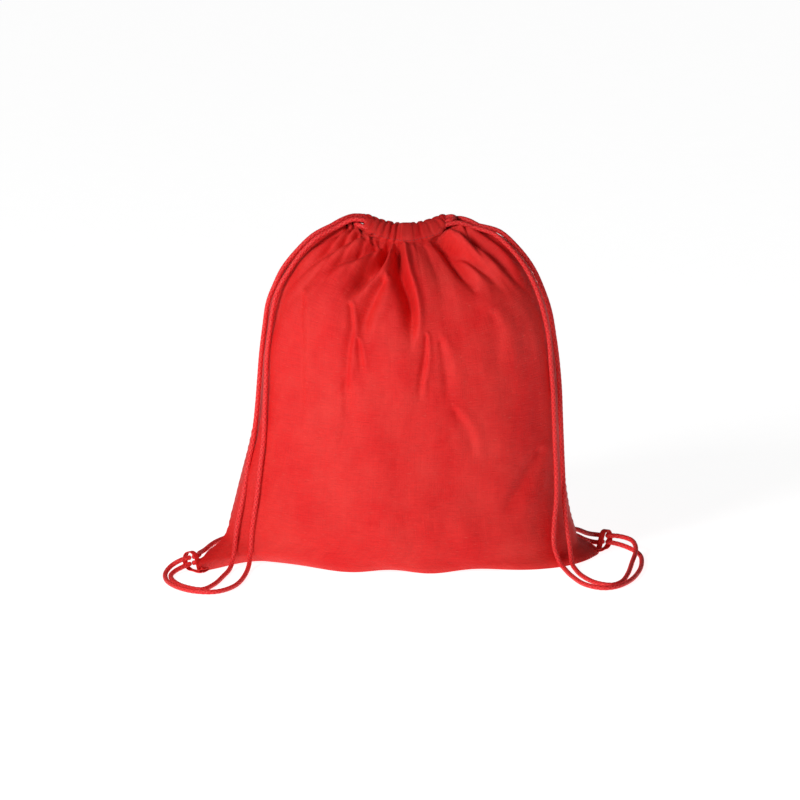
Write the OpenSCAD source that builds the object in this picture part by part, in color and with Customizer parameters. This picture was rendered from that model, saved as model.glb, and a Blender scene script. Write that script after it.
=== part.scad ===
// Drawstring backpack, stuffed and standing on its base, mouth gathered by two cords.
// Origin at the middle of the base. X runs across the bag, the front faces -Y, Z is up.

/* [Bag] */
// Width of the stuffed bag at its middle
bag_w = 275; // [200:5:360]
// Depth of the stuffed bag, front to back
bag_d = 166; // [110:2:220]
// Height from the base to the top of the seams at the shoulders
bag_h = 303; // [220:1:400]
// Thickness of the cloth, with its folds and creases
cloth_t = 1.2; // [0.8:0.1:1.6]
// Width of the raw seam allowance inside the bag
seam_w = 7; // [5:1:10]

/* [Gathered mouth] */
// Half the width of the gathered mouth
mouth_w = 36; // [34:1:38]
// Half the thickness of a hem with the cords inside it
hem_t = 4.2; // [4:0.1:4.6]
// Number of stitches in the visible row on each hem
hem_stitches = 13; // [8:1:20]

/* [Cords] */
// Diameter of the cord
cord_d = 4.4; // [4:0.1:5]
// Number of sides of a cord's tube
cord_sides = 8; // [8:1:12]
// Diameter of the knot that joins both ends of a cord
knot_d = 15; // [12:0.5:15]
// Length of the cut ends past the knot
cut_end = 20; // [12:1:26]

/* [Corner loops] */
// Inner diameter of a corner loop
loop_bore = 15.6; // [14:0.1:16]
// Thickness of the folded tape of a loop
loop_t = 1.2; // [0.8:0.1:1.4]
// Width of the tape of a loop
loop_w = 5; // [4:0.5:7]

/* [Hidden] */

panel_steps = 22;
base_steps = 6;
panel_columns = 26;
parting = 0.1;
stitch_d = 0.9;
stitch_l = 3.2;
knot_lift = 0.1;
bag_red = [0.80, 0.10, 0.11];
hem_red = [0.72, 0.07, 0.08];
cord_red = [0.88, 0.16, 0.17];
thread_red = [0.62, 0.05, 0.06];

// The route points and the profile below are for a bag of this size, and scale with it
scale_x = bag_w / 275;
scale_y = bag_d / 166;
scale_z = bag_h / 303;

// Each row of the profile is one level of the bag:
// [height at the front, height at the sides, left half width, right half width,
//  half depth, how sharply the left side tapers, how sharply the right side tapers]
PROFILE = [
    [0, 0, 182, 175, 74, 2, 0.8],
    [5, 5, 185, 168, 78, 1.9, 0.8],
    [12, 12, 183, 157, 80, 1.7, 0.82],
    [25, 25, 163, 153, 82, 1.4, 0.85],
    [45, 45, 156, 148, 83, 1.15, 0.9],
    [75, 75, 148, 144, 83, 1, 0.92],
    [115, 115, 138, 141, 83, 0.95, 0.93],
    [155, 162, 130, 139, 82, 0.93, 0.93],
    [195, 212, 125, 132, 78, 0.93, 0.93],
    [228, 252, 115, 118, 71, 0.95, 0.95],
    [252, 279, 95, 101, 61, 0.98, 0.98],
    [268, 292, 79, 86, 50, 1, 1],
    [280, 299, 64, 69, 39, 1, 1],
    [289, 303, 50, 50, 29, 1, 1]
];
last_row = len(PROFILE) - 1;

// The empty bottom corners bend: the left one forwards, the right one slightly backwards
left_bend = [126, 60, -76];
right_bend = [140, 36, 7];
bend_power = 1.6;

// Cord routes, from the shoulders down to the corner loops
LEFT_FRONT = [[-61, -10, 304], [-78, -15, 296], [-91, -17, 284], [-103, -20, 268],
    [-113, -22, 251], [-118, -24, 235], [-121, -27, 215], [-124, -29, 190], [-125, -33, 165],
    [-126, -36, 140], [-127, -39, 115], [-130, -42, 90], [-133, -44, 65], [-136, -44, 45],
    [-138, -43, 28], [-139, -49, 12], [-141, -68, 3], [-147, -112, 2.3], [-156, -139, 2.3],
    [-170, -154, 2.3], [-188, -152, 2.3], [-203, -137, 2.3], [-212, -117, 2.3],
    [-215, -96, 2.3], [-214, -81, 3.5], [-209, -72, 7], [-201, -69, 11], [-192, -64, 12.4]];
LEFT_BACK = [[-66, -3, 304], [-82, -6, 296], [-96, -8, 283], [-109, -10, 267],
    [-117, -11, 251], [-123, -13, 235], [-126, -15, 215], [-129, -17, 190], [-131, -20, 165],
    [-133, -24, 140], [-136, -27, 115], [-141, -31, 90], [-145, -38, 65], [-149, -41, 45],
    [-152, -43, 28], [-154, -54, 12], [-157, -66, 3], [-163, -95, 2.3], [-171, -126, 2.3],
    [-182, -145, 2.3], [-198, -133, 2.3], [-207, -114, 2.3], [-210, -94, 2.3],
    [-207, -80, 3], [-200, -71, 5], [-192, -64, 6.8]];
RIGHT_FRONT = [[61, -10, 304], [79, -14, 299], [94, -18, 287], [107, -21, 271],
    [117, -24, 252], [124, -27, 231], [129, -29, 207], [131, -31, 182], [133, -33, 158],
    [134, -36, 132], [135, -38, 106], [136, -39, 82], [136, -41, 60], [134, -46, 38],
    [134, -51, 20], [139, -56, 6], [144, -70, 2.3], [150, -96, 2.3], [160, -124, 2.3],
    [175, -139, 2.3], [190, -133, 2.3], [203, -107, 2.3], [211, -68, 2.3], [213, -30, 2.3],
    [210, -6, 2.3], [202, 9, 3.5], [192, 16, 5.5], [181, 20, 6.8]];
RIGHT_BACK = [[66, -3, 304], [85, -6, 299], [101, -9, 285], [114, -11, 268],
    [123, -13, 249], [130, -15, 228], [134, -17, 205], [137, -18, 182], [139, -20, 158],
    [140, -23, 132], [141, -25, 106], [142, -27, 82], [143, -32, 60], [145, -35, 38],
    [148, -42, 18], [150, -53, 5], [153, -68, 2.3], [159, -94, 2.3], [170, -118, 2.3],
    [184, -128, 2.3], [194, -115, 2.3], [200, -84, 2.3], [204, -44, 2.3], [208, -15, 7.3],
    [205, 3, 11.5], [194, 14, 13], [181, 20, 12.4]];

// Leads, from the ends of the hems over the slits to where the routes above begin
LEFT_FRONT_LEAD = [[-36, -8.3, 310.1], [-48, -9, 310.5], [-60, -9.7, 304.6]];
LEFT_BACK_LEAD = [[-36, 8.3, 310.1], [-47, 5, 311], [-57, 0, 308.5], [-65, -2.7, 304.6]];
RIGHT_FRONT_LEAD = [[36, -11.7, 305.9], [48, -10, 308], [60, -9.7, 304.6]];
RIGHT_BACK_LEAD = [[36, 11.7, 305.9], [48, 7, 308.5], [57, 0, 308], [65, -2.7, 304.5]];

// Tails, from the corner loops to the knots behind the bag
LEFT_TAIL = [
    [[-191.2, -63.3, 6.8], [-187.5, -60, 6.8], [-184, -51, 6], [-180, -30, 3.5], [-174, 5, 2.3], [-160, 40, 2.3],
     [-138, 70, 2.3], [-112, 88, 3.5], [-96, 94, 6]],
    [[-191.2, -63.3, 12.4], [-187.5, -60, 12.4], [-185, -51, 11.7], [-185, -34, 9], [-181, -2, 4], [-169, 42, 2.3],
     [-143, 80, 2.3], [-114, 97, 3.5], [-97, 99, 7]]];
RIGHT_TAIL = [
    [[180.1, 20.4, 6.8], [172, 27, 4.5], [163, 46, 2.4], [153, 66, 2.3], [140, 80, 2.3],
     [122, 89, 2.3], [106, 93, 3.5], [95, 94, 6]],
    [[180.1, 20.4, 12.4], [173, 27, 11.5], [165, 47, 8], [156, 74, 5], [142, 94, 2.6],
     [124, 101, 2.3], [108, 100, 3.5], [96, 98, 7]]];
LEFT_KNOT = [-88, 98];
RIGHT_KNOT = [87, 98];

// Corner loops: middle of the bore, and the direction in which the cords pass
LEFT_LOOP = [-192, -64, 9.2];
RIGHT_LOOP = [181, 20, 9.2];
left_loop_turn = 40;
right_loop_turn = 154;

// Feet of the loops: from the ring, past the tip of the bag's corner, into its seam
LEFT_FOOT = [[-187, -69.7], [-183, -73.5], [-176, -57]];
RIGHT_FOOT = [[177.6, 12.8], [174, 7.5], [162, 4]];
foot_w = 2.4;
foot_lift = 0.3;
tack_pitch = 1.6;
tack_l = 7;

function scaled(p) = [p[0] * scale_x, p[1] * scale_y, p[2] * scale_z];
function on_table(p) = [p[0] * scale_x, p[1] * scale_y, p[2]];

// A smooth row of the profile at any level, by a spline through the rows
function profile_row(v) =
    let (i = min(floor(v), last_row - 1), t = v - i,
         a = PROFILE[max(i - 1, 0)], b = PROFILE[i],
         c = PROFILE[i + 1], d = PROFILE[min(i + 2, last_row)])
    0.5 * (2 * b + (c - a) * t + (2 * a - 5 * b + 4 * c - d) * t * t
           + (3 * b - a - 3 * c + d) * t * t * t);

function corner_bend(x) =
    x < 0
    ? left_bend[2] * pow(max(-x - left_bend[0], 0) / left_bend[1], bend_power)
    : right_bend[2] * pow(max(x - right_bend[0], 0) / right_bend[1], bend_power);

// A point of the front half of the bag, before the corners bend. a runs from 0 at the
// right side seam to 180 at the left one
function bag_point(v, a) =
    let (r = profile_row(v), c = cos(a), s = max(sin(a), 0))
    [c * (c < 0 ? r[2] : r[3]), -r[4] * pow(s, c < 0 ? r[5] : r[6]), r[0] + (r[1] - r[0]) * c * c];

function outer_point(v, a) =
    let (p = bag_point(v, a))
    [p[0], min(p[1], -parting), p[2]];

// The cloth is thinned where both halves lie together in an empty corner, and its
// thickness turns from sideways to downwards where the bag closes in to the mouth
closing_from = 200;
closing_over = 90;
corner_thinning = 0.25;
mean_half_width = 140;
base_zone = 20;
base_inset = 0.975;

function inner_point(v, a) =
    let (p = bag_point(v, a),
         lift = min(max((p[2] - closing_from) / closing_over, 0), 1),
         y = max(-p[1] - cloth_t, -corner_thinning * p[1] + parting))
    [p[0] * (1 - cloth_t / mean_half_width), -max(y, parting),
     p[2] < base_zone ? max(p[2], cloth_t + p[2] * 0.3) : p[2] - cloth_t * lift];

function bent(p) = scaled([p[0], p[1] + corner_bend(p[0]), p[2]]);
function at_seam(p) = [p[0] * base_inset, -parting, p[2]];

// A grid of points for one half of the bag, from one of its levels to another. Level -1 is
// the seam in the middle of the base
function panel_grid(inside, first, last) = [
    for (i = [first : last])
        [for (j = [0 : panel_columns])
            let (v = max(i, 0) * last_row / panel_steps, a = 180 * j / panel_columns,
                 p = inside ? inner_point(v, a) : outer_point(v, a))
            i < 0 ? at_seam(p) : p]];

function flat(grid) = [for (line = grid) each line];

function strip_faces(rows, cols, first, flip) = [
    for (i = [0 : rows - 2], j = [0 : cols - 2])
        let (a = first + i * cols + j, b = a + 1, c = b + cols, d = a + cols)
        each (flip ? [[a, c, b], [a, d, c]] : [[a, b, c], [a, c, d]])];

// A closed sheet between an outer and an inner grid of points of the same size
module sheet(outer, inner, flip = false) {
    rows = len(outer);
    cols = len(outer[0]);
    count = rows * cols;
    rim = concat(
        [for (j = [0 : cols - 1]) j],
        [for (i = [1 : rows - 1]) i * cols + cols - 1],
        [for (j = [cols - 2 : -1 : 0]) (rows - 1) * cols + j],
        [for (i = [rows - 2 : -1 : 1]) i * cols]);
    edges = [for (k = [0 : len(rim) - 1])
        let (a = rim[k], b = rim[(k + 1) % len(rim)])
        each (flip ? [[a, b, b + count], [a, b + count, a + count]]
                   : [[a, b + count, b], [a, a + count, b + count]])];
    polyhedron(
        concat(flat(outer), flat(inner)),
        concat(strip_faces(rows, cols, 0, flip), strip_faces(rows, cols, count, !flip), edges));
}

// Rings of points joined into a closed rod
module rod(rings) {
    n = len(rings[0]);
    m = len(rings);
    sides = [for (i = [0 : m - 2], j = [0 : n - 1])
        let (a = i * n + j, b = i * n + (j + 1) % n, c = b + n, d = a + n)
        each [[a, b, c], [a, c, d]]];
    polyhedron(flat(rings), concat(sides, [[for (j = [n - 1 : -1 : 0]) j],
        [for (j = [0 : n - 1]) (m - 1) * n + j]]));
}

// Rings of points joined into a tube with a wall
module tube(outer, inner) {
    n = len(outer[0]);
    m = len(outer);
    count = n * m;
    walls = [for (i = [0 : m - 2], j = [0 : n - 1])
        let (a = i * n + j, b = i * n + (j + 1) % n, c = b + n, d = a + n)
        each [[a, b, c], [a, c, d],
              [a + count, c + count, b + count], [a + count, d + count, c + count]]];
    near = [for (j = [0 : n - 1])
        let (a = j, b = (j + 1) % n)
        each [[a, b + count, b], [a, a + count, b + count]]];
    far = [for (j = [0 : n - 1])
        let (a = (m - 1) * n + j, b = (m - 1) * n + (j + 1) % n)
        each [[a, b, b + count], [a, b + count, a + count]]];
    polyhedron(concat(flat(outer), flat(inner)), concat(walls, near, far));
}

function unit(v) = v / norm(v);

// A cord's tube: a ring of corners square to the route at each of its points
function cord_rings(route) = [
    for (i = [0 : len(route) - 1])
        let (along = unit(route[min(i + 1, len(route) - 1)] - route[max(i - 1, 0)]),
             side = unit(cross(along, abs(along[2]) > 0.9 ? [0, 1, 0] : [0, 0, 1])),
             up = cross(side, along))
        [for (k = [0 : cord_sides - 1])
            let (a = 360 * (k + 0.5) / cord_sides)
            route[i] + cord_d / 2 * (cos(a) * side + sin(a) * up)]];

module cord(route) {
    color(cord_red) rod(cord_rings(route));
}

// The cord's route on the bag scales with the bag, and on the table it keeps its height
function placed(route) = [for (p = route) p[2] > 14 ? scaled(p) : on_table(p)];

// Gathered hem: its rim, its base line and its middle, as u runs from -1 to 1 across
function hem_rim(u) = [mouth_w * u, -5 - 3 * (1 - u * u), 314 - 8 * (1 - u * u)];
function hem_base(u) = [mouth_w * u, -15 - 10 * (1 - u * u), 302 - 9 * (1 - u * u)];
function hem_middle(u) = (hem_rim(u) + hem_base(u)) / 2;
function hem_up(u) = (hem_rim(u) - hem_base(u)) / 2;
function hem_out(u) = let (h = unit(hem_up(u))) [0, -h[2], h[1]];

hem_sides = 14;
hem_steps = 10;
hem_fullness = 0.8;

function soft_cos(a) = sign(cos(a)) * pow(abs(cos(a)), hem_fullness);
function soft_sin(a) = sign(sin(a)) * pow(abs(sin(a)), hem_fullness);
function hem_point(u, a, wall) =
    let (up = hem_up(u))
    hem_middle(u) + unit(up) * (norm(up) - wall) * soft_cos(a)
    + hem_out(u) * (hem_t - wall) * soft_sin(a);
function hem_rings(wall) = [
    for (i = [0 : hem_steps])
        let (u = -1 + 2 * i / hem_steps)
        [for (k = [0 : hem_sides - 1]) scaled(hem_point(u, 360 * k / hem_sides, wall))]];

hem_wall = 1.1;
cord_spread = 2.7;
function channel(u, sign) = hem_middle(u) + unit(hem_up(u)) * cord_spread * sign;
channel_steps = [-1 : 0.25 : 1];

// Both cords turn back at the slit opposite their own strap
upper_turn = [[41, -7.5, 310], [44, -4.5, 310], [44, -0.4, 310]];
lower_turn = [[-41, -9.5, 305.5], [-44, -5, 305.5], [-44, -0.4, 305.5]];
upper_cord = concat([for (u = channel_steps) channel(u, 1)], upper_turn);
lower_cord = concat([for (i = [len(lower_turn) - 1 : -1 : 0]) lower_turn[i]],
                    [for (u = channel_steps) channel(u, -1)]);

stitch_angle = 118;
function stitch_place(i) =
    let (u = -0.92 + 1.84 * i / (hem_stitches - 1))
    scaled(hem_point(u, stitch_angle, 0));

// The back half mirrors the front one, and both bend the same way at the corners
function bent_grid(inside, side, first, last) = [
    for (line = panel_grid(inside, first, last))
        [for (p = line) bent([p[0], p[1] * side, p[2]])]];

module half(side, first, last) {
    color(bag_red)
    sheet(bent_grid(false, side, first, last), bent_grid(true, side, first, last), side < 0);
}

module front_panel() {
    half(1, base_steps, panel_steps);
}

module back_panel() {
    half(-1, base_steps, panel_steps);
}

// The part of each panel that turns under the bag
module front_base() {
    half(1, -1, base_steps);
}

module back_base() {
    half(-1, -1, base_steps);
}

module front_casing() {
    color(hem_red) tube(hem_rings(0), hem_rings(hem_wall));
}

module back_casing() {
    color(hem_red) mirror([0, 1, 0]) tube(hem_rings(0), hem_rings(hem_wall));
}

module front_hem_stitches() {
    color(thread_red)
    for (i = [0 : hem_stitches - 1])
        translate(stitch_place(i))
            rotate([0, 90, 0])
                cylinder(d = stitch_d, h = stitch_l, center = true, $fn = 16);
}

module back_hem_stitches() {
    mirror([0, 1, 0]) front_hem_stitches();
}

// Raw edges of both halves, sewn together and standing into the bag along a side
seam_gap = 2.6;
function seam_grid(side, y) = [
    for (inset = [seam_gap, seam_gap + seam_w])
        [for (v = [5 : 0.5 : 12])
            let (r = profile_row(v))
            bent([side * ((side < 0 ? r[2] : r[3]) - inset), y, r[1] - inset / 3])]];

module side_seam(side) {
    color(bag_red)
    sheet(seam_grid(side, -cloth_t / 2), seam_grid(side, cloth_t / 2), side > 0);
}

module left_side_seam() {
    side_seam(-1);
}

module right_side_seam() {
    side_seam(1);
}

bottom_seam_left = 120;
bottom_seam_right = 112;

module bottom_seam() {
    width = (bottom_seam_left + bottom_seam_right) * scale_x;
    color(bag_red)
    translate([-bottom_seam_left * scale_x, -cloth_t / 2, cloth_t + foot_lift])
        cube([width, cloth_t, seam_w]);
}

// Dense zigzag that ends the slit, across the top of a side seam
bartack_x = 54;
bartack_z = 302.4;
bartack_pitch = 1.3;

module slit_bartack(side) {
    color(thread_red)
    for (k = [-2 : 2])
        translate([side * (bartack_x + bartack_pitch * k) * scale_x, 0, bartack_z * scale_z])
            rotate([90, 0, 0])
                cylinder(d = stitch_d, h = 5, center = true, $fn = 16);
}

module left_slit_bartack() {
    slit_bartack(-1);
}

module right_slit_bartack() {
    slit_bartack(1);
}

// The foot's line on the table
function foot_point(foot, i) = [foot[i][0] * scale_x, foot[i][1] * scale_y, foot_lift];

// A short tape sewn into a bottom corner: a ring around the cords and a foot in the seam
module loop_foot(foot) {
    for (i = [0 : len(foot) - 2])
        hull() {
            translate(foot_point(foot, i)) cylinder(d = foot_w, h = loop_w, $fn = 24);
            translate(foot_point(foot, i + 1)) cylinder(d = foot_w, h = loop_w, $fn = 24);
        }
}

module corner_loop(place, turn, foot) {
    bore = loop_bore / 2;
    color(hem_red)
    translate(on_table(place))
        rotate([0, 0, turn])
            rotate([0, 90, 0])
                difference() {
                    cylinder(r = bore + loop_t, h = loop_w, center = true, $fn = 64);
                    cylinder(r = bore, h = loop_w + 1, center = true, $fn = 64);
                }
    color(hem_red)
    loop_foot(foot);
}

module left_corner_loop() {
    corner_loop(LEFT_LOOP, left_loop_turn, LEFT_FOOT);
}

module right_corner_loop() {
    corner_loop(RIGHT_LOOP, right_loop_turn, RIGHT_FOOT);
}

// Rows of stitches that hold a loop's foot between the two halves of the bag
module loop_tack(foot) {
    inner = foot_point(foot, 2);
    back = unit(foot_point(foot, 1) - inner);
    color(thread_red)
    for (k = [0 : 2])
        translate(inner + back * (1 + tack_pitch * k) + [0, 0, loop_w / 2])
            rotate([90, 0, atan2(back[1], back[0])])
                cylinder(d = stitch_d, h = tack_l, center = true, $fn = 16);
}

module left_loop_tack() {
    loop_tack(LEFT_FOOT);
}

module right_loop_tack() {
    loop_tack(RIGHT_FOOT);
}

module front_channel_cords() {
    cord([for (p = upper_cord) scaled(p)]);
    cord([for (p = lower_cord) scaled(p)]);
}

module back_channel_cords() {
    mirror([0, 1, 0]) front_channel_cords();
}

module tail(routes) {
    for (route = routes)
        cord(placed(route));
}

module knot(place) {
    color(cord_red)
    translate([place[0] * scale_x, place[1] * scale_y, knot_d / 2 + knot_lift])
        sphere(d = knot_d, $fn = 48);
}

// Both cut ends come out of the knot side by side and rest on the table
module cord_ends(place, side) {
    start = [place[0] * scale_x - side * knot_d * 0.3, place[1] * scale_y, cord_d / 2 + 0.8];
    for (k = [-1, 1])
        cord([start + [0, 3.2 * k, 0],
              start + [-side * (knot_d * 0.2 + cut_end / 2), 4.5 * k, -0.4],
              start + [-side * (knot_d * 0.2 + cut_end), 7 * k, -0.6]]);
}

front_panel();
back_panel();
front_base();
back_base();
front_casing();
back_casing();
front_hem_stitches();
back_hem_stitches();
left_side_seam();
right_side_seam();
bottom_seam();
left_slit_bartack();
right_slit_bartack();
left_corner_loop();
right_corner_loop();
left_loop_tack();
right_loop_tack();
front_channel_cords();
back_channel_cords();
cord(placed(LEFT_FRONT_LEAD));  // left_front_lead
cord(placed(LEFT_BACK_LEAD));  // left_back_lead
cord(placed(RIGHT_FRONT_LEAD));  // right_front_lead
cord(placed(RIGHT_BACK_LEAD));  // right_back_lead
cord(placed(LEFT_FRONT));  // left_front_strand
cord(placed(LEFT_BACK));  // left_back_strand
cord(placed(RIGHT_FRONT));  // right_front_strand
cord(placed(RIGHT_BACK));  // right_back_strand
tail(LEFT_TAIL);  // left_tail
tail(RIGHT_TAIL);  // right_tail
knot(LEFT_KNOT);  // left_knot
knot(RIGHT_KNOT);  // right_knot
cord_ends(LEFT_KNOT, -1);  // left_cord_ends
cord_ends(RIGHT_KNOT, 1);  // right_cord_ends
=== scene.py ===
"""Looks of the drawstring backpack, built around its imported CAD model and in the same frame.
Shapes are laid out in millimetres, as in the CAD source, and turned into metres in mesh()."""
import math

import bpy
import numpy as np
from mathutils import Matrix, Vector


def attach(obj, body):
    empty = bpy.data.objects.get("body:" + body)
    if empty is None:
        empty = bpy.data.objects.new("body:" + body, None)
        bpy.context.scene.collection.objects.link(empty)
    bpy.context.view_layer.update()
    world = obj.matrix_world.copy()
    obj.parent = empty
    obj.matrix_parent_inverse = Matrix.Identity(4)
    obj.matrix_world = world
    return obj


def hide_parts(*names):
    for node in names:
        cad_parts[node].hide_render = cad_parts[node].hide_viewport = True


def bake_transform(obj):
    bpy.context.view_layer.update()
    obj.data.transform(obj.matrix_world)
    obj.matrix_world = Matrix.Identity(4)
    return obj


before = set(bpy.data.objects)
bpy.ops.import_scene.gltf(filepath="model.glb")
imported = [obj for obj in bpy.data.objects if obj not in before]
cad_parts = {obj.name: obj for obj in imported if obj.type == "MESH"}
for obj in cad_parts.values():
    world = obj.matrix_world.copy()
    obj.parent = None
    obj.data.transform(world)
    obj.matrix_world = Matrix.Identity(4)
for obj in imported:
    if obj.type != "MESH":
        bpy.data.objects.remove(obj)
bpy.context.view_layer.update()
scene = bpy.context.scene
MM = 0.001


# ---------------------------------------------------------------- camera
CAMERA_TILT = 13
CAMERA_AWAY = 15
CAMERA_AIM = (-0.0045, 0, 0.1425)


def add_camera():
    """The viewing angle: from far in front, looking down a little on the bag on its table."""
    data = bpy.data.cameras.new("camera")
    data.lens = 750
    data.sensor_width = 36
    data.clip_end = 4 * CAMERA_AWAY
    camera = bpy.data.objects.new("camera", data)
    scene.collection.objects.link(camera)
    tilt = math.radians(CAMERA_TILT)
    away = Vector((0, -math.cos(tilt), math.sin(tilt))) * CAMERA_AWAY
    camera.location = Vector(CAMERA_AIM) + away
    camera.rotation_euler = (-away).to_track_quat("-Z", "Y").to_euler()
    scene.camera = camera


add_camera()


# ---------------------------------------------------------------- materials
class Nodes:
    """A short way to write a node tree: each call adds a node and returns its output."""

    def __init__(self, name):
        self.material = bpy.data.materials.new(name)
        self.material.use_nodes = True
        self.tree = self.material.node_tree
        self.shader = self.tree.nodes["Principled BSDF"]

    def add(self, kind, inputs=(), out=0, **settings):
        node = self.tree.nodes.new(kind)
        for key, value in settings.items():
            setattr(node, key, value)
        for key, value in dict(inputs).items():
            if isinstance(value, bpy.types.NodeSocket):
                self.tree.links.new(value, node.inputs[key])
            else:
                node.inputs[key].default_value = value
        return node.outputs[out]

    def math(self, operation, a, b=0.0):
        return self.add("ShaderNodeMath", {0: a, 1: b}, operation=operation)

    def noise(self, vector, scale, detail=3.0, rough=0.55):
        return self.add("ShaderNodeTexNoise",
                        {"Vector": vector, "Scale": scale, "Detail": detail, "Roughness": rough})

    def stretched(self, vector, scale):
        return self.add("ShaderNodeVectorMath", {0: vector, 1: scale}, operation="MULTIPLY")

    def ramp(self, value, low, high, to_low=0.0, to_high=1.0):
        """value from low to high, brought to the range from to_low to to_high."""
        return self.add("ShaderNodeMapRange", {
            "Value": value, "From Min": low, "From Max": high,
            "To Min": to_low, "To Max": to_high})

    def mix(self, factor, a, b):
        """Colour a, or b where factor is 1."""
        return self.add("ShaderNodeMix", {0: factor, 6: a, 7: b}, out=2, data_type="RGBA")

    def finish(self, color, height, distance, roughness, sheen, sheen_tint, specular):
        """Wire the shader. distance is how deep, in metres, a height of 1 looks."""
        bump = self.add("ShaderNodeBump", {"Height": height, "Distance": distance})
        self.tree.links.new(color, self.shader.inputs["Base Color"])
        self.tree.links.new(bump, self.shader.inputs["Normal"])
        self.tree.links.new(roughness, self.shader.inputs["Roughness"])
        self.shader.inputs["Sheen Weight"].default_value = sheen
        self.shader.inputs["Sheen Roughness"].default_value = 0.45
        self.shader.inputs["Sheen Tint"].default_value = sheen_tint
        self.shader.inputs["Specular IOR Level"].default_value = specular
        return self.material


def cloth_material(name, base, dark, light, thread=0.62):
    """Plain-woven cotton: fine warp and weft, uneven yarns that show as slubs, soft mottling, and
    a little painted shade in the weave's low cells.
    Its coordinates are the flat cloth's own, in millimetres. thread is one yarn's width."""
    n = Nodes(name)
    cloth = n.add("ShaderNodeUVMap", uv_map="cloth")
    axes = n.tree.nodes.new("ShaderNodeSeparateXYZ")
    n.tree.links.new(cloth, axes.inputs[0])
    across, along = axes.outputs[0], axes.outputs[1]
    wander = n.noise(n.stretched(cloth, (0.05, 0.05, 0)), 1.0, 2.0)
    warp, weft = (n.math("SINE", n.math("MULTIPLY", n.math("ADD", axis, wander),
                                        math.pi / thread)) for axis in (across, along))
    checks = n.math("MULTIPLY", warp, weft)
    weft_slubs = n.noise(n.stretched(cloth, (0.055, 1.25, 0)), 1.0, 3.0, 0.6)
    warp_slubs = n.noise(n.stretched(cloth, (1.15, 0.035, 0)), 1.0, 3.0, 0.6)
    knots = n.noise(n.stretched(cloth, (0.16, 0.75, 0)), 1.0, 2.0, 0.5)
    mottle = n.noise(n.stretched(cloth, (0.02, 0.016, 0)), 1.0, 4.0, 0.6)
    yarns = n.math("ADD", n.math("MULTIPLY", weft_slubs, 0.62),
                   n.math("MULTIPLY", warp_slubs, 0.38))
    tone = n.ramp(yarns, 0.36, 0.64)
    color = n.mix(tone, dark, base)
    color = n.mix(n.ramp(knots, 0.62, 0.76, 0.0, 0.45), color, light)
    color = n.mix(n.ramp(mottle, 0.35, 0.7, 0.0, 0.35), color, light)
    # Painted shade: the weave's low cells are darkened a little.
    color = n.mix(n.ramp(checks, -1, 1, 0.16, 0.0), color, dark)
    height = n.math("ADD", n.math("MULTIPLY", checks, 0.10),
                    n.math("MULTIPLY", yarns, 1.0))
    height = n.math("ADD", height, n.math("MULTIPLY", n.ramp(knots, 0.58, 0.8), 0.45))
    return n.finish(color, height, 0.0007, n.ramp(tone, 0, 1, 0.5, 0.62), 0.04,
                    (1.0, 0.5, 0.42, 1), 0.24)


def cord_material(name, base, dark, light):
    """Shiny braided yarn: fine filaments run along each plait, with painted highlights in small
    sparkles and painted shade in the gaps between plaits.
    """
    n = Nodes(name)
    cord = n.add("ShaderNodeUVMap", uv_map="cloth")
    strands = n.noise(n.stretched(cord, (2.2, 0.9, 0)), 1.0, 3.0, 0.6)
    painted_sparkle = n.noise(n.stretched(cord, (0.8, 1.4, 0)), 1.0, 2.0, 0.6)
    relief = n.add("ShaderNodeAttribute", attribute_name="relief", out=2)
    # Painted shade: the colour goes dark in the gaps between plaits, where the relief is low.
    color = n.mix(n.ramp(relief, 0.15, 0.85), dark, base)
    # Painted highlight: small pale sparkles of light on the filaments.
    color = n.mix(n.ramp(painted_sparkle, 0.56, 0.72), color, light)
    color = n.mix(n.ramp(strands, 0.3, 0.5, 0.35, 0.0), color, dark)
    height = n.math("ADD", n.math("MULTIPLY", strands, 0.6), n.math("MULTIPLY", painted_sparkle, 0.4))
    return n.finish(color, height, 0.0004, n.ramp(painted_sparkle, 0.3, 0.7, 0.6, 0.45), 0.05,
                    (1.0, 0.4, 0.4, 1), 0.24)


def thread_material(name, base, dark):
    """Twisted sewing thread, with painted shade in the grooves of its twist."""
    n = Nodes(name)
    place = n.add("ShaderNodeTexCoord", out=3)
    twist = n.add("ShaderNodeTexWave", {"Vector": place, "Scale": 900.0, "Distortion": 1.5},
                  out=1, wave_type="BANDS", bands_direction="DIAGONAL")
    fuzz = n.noise(place, 1400.0)
    # Painted shade: the twist's low bands, its grooves, take the dark colour.
    color = n.mix(twist, dark, base)
    return n.finish(color, n.math("ADD", twist, fuzz), 0.0002, n.ramp(fuzz, 0.3, 0.7, 0.55, 0.75),
                    0.3, (1.0, 0.6, 0.6, 1), 0.4)


# DEEP_RED colours the thin yarns and is also the painted shade in the weave's low cells; PALE_RED
# colours the knots and the mottling.
RED = (0.82, 0.014, 0.013, 1)
DEEP_RED = (0.66, 0.004, 0.006, 1)
PALE_RED = (0.90, 0.085, 0.065, 1)
CLOTH = cloth_material("bag_cloth", RED, DEEP_RED, PALE_RED)
TAPE = cloth_material("loop_tape", RED, DEEP_RED, PALE_RED, thread=0.5)
# The cord's dark colour also paints shade in the gaps between plaits, and its pale colour paints
# the sparkles' highlights.
CORD = cord_material("cord", (0.93, 0.034, 0.036, 1), (0.60, 0.005, 0.009, 1),
                     (1.0, 0.25, 0.21, 1))
# The thread's dark colour is the painted shade in the grooves of its twist.
THREAD = thread_material("thread", (0.70, 0.03, 0.03, 1), (0.36, 0.008, 0.01, 1))


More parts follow.
